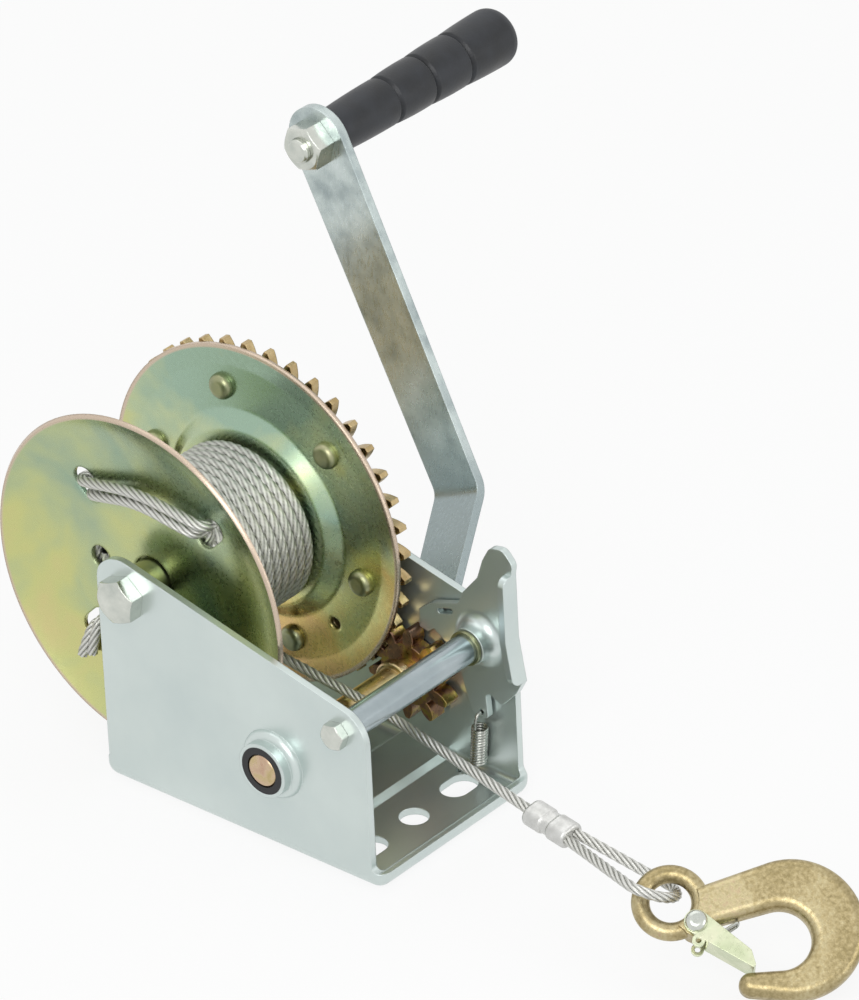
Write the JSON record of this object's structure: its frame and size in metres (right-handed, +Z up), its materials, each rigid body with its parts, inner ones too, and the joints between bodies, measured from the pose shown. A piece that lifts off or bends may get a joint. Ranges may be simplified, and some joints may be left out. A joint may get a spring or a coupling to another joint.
{
  "type": "hand winch",
  "caption": "Geared hand winch with a pressed frame, wire rope on a flanged drum, a pinion turned by a crank with a turning grip, a pawl, and a snap hook on the rope's end.",
  "frame": {"origin": "middle of the underside of the base", "axes": "+X along the axles towards the crank, -Y the way the rope leaves, +Z up from the base"},
  "size_m": [0.2552, 0.3849, 0.2352],
  "materials": {
    "zinc": "bright blue-white zinc plate, satin",
    "yellow_zinc": "iridescent yellow chromate zinc on steel",
    "nylon": "black nylon",
    "rope": "galvanised twisted wire",
    "ferrule": "pressed, satin",
    "hook": "rough forging with yellow zinc",
    "latch": "pale yellow zinc on sheet steel",
    "spring": "drawn spring wire",
    "grip": "moulded, matte"
  },
  "bodies": {
    "frame": {"frame": "zinc", "left_bush": "nylon", "right_bush": "nylon", "drum_bolt": "zinc", "drum_washer": "zinc", "drum_nut": "zinc", "axle_sleeve": "yellow_zinc", "tie_tube": "zinc", "tie_bolt": "zinc", "tie_nut": "zinc", "tie_washer": "yellow_zinc", "cable_run": "rope", "ferrule": "ferrule", "cable_loop": "rope", "pawl_spring": "spring"},
    "drum": {"left_flange": "yellow_zinc", "right_flange": "yellow_zinc", "drum_core": "yellow_zinc", "drum_gear": "yellow_zinc", "gear_rivets": "yellow_zinc", "cable_inner_layers": "rope", "cable_winding": "rope", "cable_anchor": "rope"},
    "crank": {"pinion_shaft": "yellow_zinc", "pinion": "yellow_zinc", "shaft_clip": "zinc", "crank_arm": "zinc", "crank_spacer": "zinc", "crank_washer": "zinc", "crank_nut": "zinc", "grip_bolt": "zinc", "grip_nut": "zinc", "grip_washer": "zinc"},
    "grip": {"grip": "grip", "grip_cap": "grip"},
    "pawl": {"pawl": "zinc"},
    "hook": {"hook": "hook", "latch_pin": "hook"},
    "latch": {"hook_latch": "latch", "latch_spring": "spring"}
  },
  "joints": [
    {"name": "drum_spin", "type": "hinge", "parent": "frame", "child": "drum", "pos_m": [0, 0.053, 0.088], "axis": [1, 0, 0], "continuous": true},
    {"name": "crank_turn", "type": "hinge", "parent": "frame", "child": "crank", "pos_m": [0, -0.0193, 0.0396], "axis": [1, 0, 0], "continuous": true},
    {"name": "grip_spin", "type": "hinge", "parent": "crank", "child": "grip", "pos_m": [0.1, 0.06692, 0.22117], "axis": [1, 0, 0], "continuous": true},
    {"name": "pawl_swing", "type": "hinge", "parent": "frame", "child": "pawl", "pos_m": [0.04, -0.053, 0.0658], "axis": [1, 0, 0], "range_deg": [-9.5, 10], "stiffness_Nm_per_rad": 0.5, "deforming": ["pawl_spring"]},
    {"name": "hook_swing", "type": "hinge", "parent": "frame", "child": "hook", "pos_m": [-0.02297, -0.18381, 0.03766], "axis": [-0.8821, 0.1378, -0.4505], "range_deg": [-8, 30]},
    {"name": "latch_swing", "type": "hinge", "parent": "hook", "child": "latch", "pos_m": [-0.02157, -0.20528, 0.02659], "axis": [-0.463, -0.43, 0.775], "range_deg": [0, 30], "stiffness_Nm_per_rad": 0.05, "springref_deg": -17.19, "deforming": ["latch_spring"]}
  ],
  "couplings": [
    {"joint": "crank_turn", "follows": "drum_spin", "ratio": -4}
  ]
}
